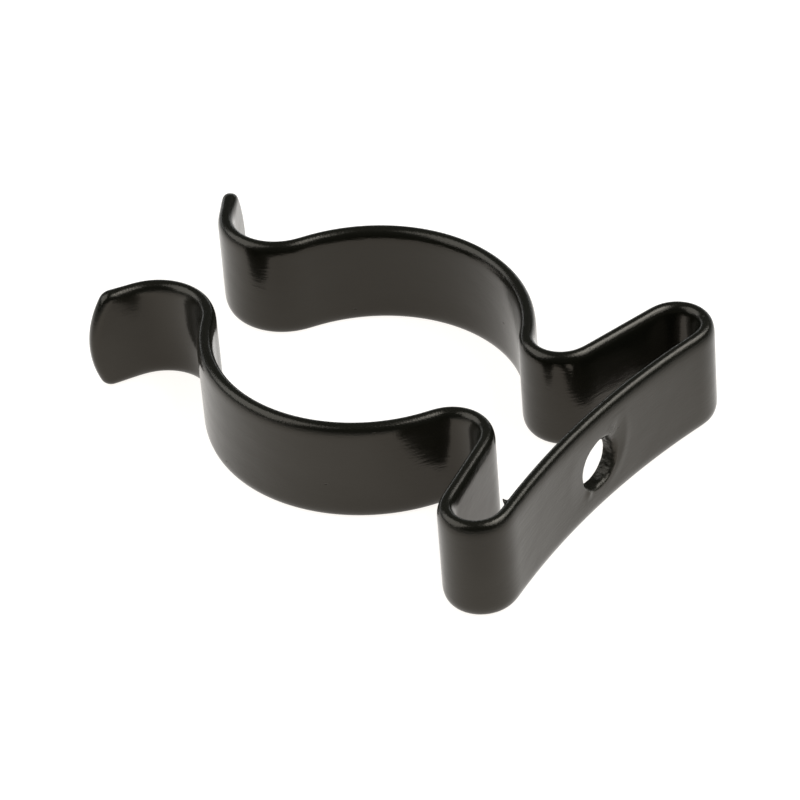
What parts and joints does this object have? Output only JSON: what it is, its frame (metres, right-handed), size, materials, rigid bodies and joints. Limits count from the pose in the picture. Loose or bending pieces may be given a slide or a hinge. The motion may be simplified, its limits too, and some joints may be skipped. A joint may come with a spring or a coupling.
{
  "type": "spring clip",
  "caption": "Folded spring-steel strip clip with an open round jaw that grips a pipe, curled lips at its mouth and a bowed foot with a screw hole, coated black.",
  "frame": {"origin": "the axis of the jaw, at the middle of the strip's width", "axes": "+Z along the axis of the pipe that the jaw grips, +Y from the foot to the mouth, +X along the foot"},
  "size_m": [0.0364, 0.0504, 0.01],
  "materials": {
    "black_coating": "semi-gloss black dip coating on spring steel"
  },
  "bodies": {
    "root": {"spring_clip": "black_coating"}
  },
  "joints": []
}
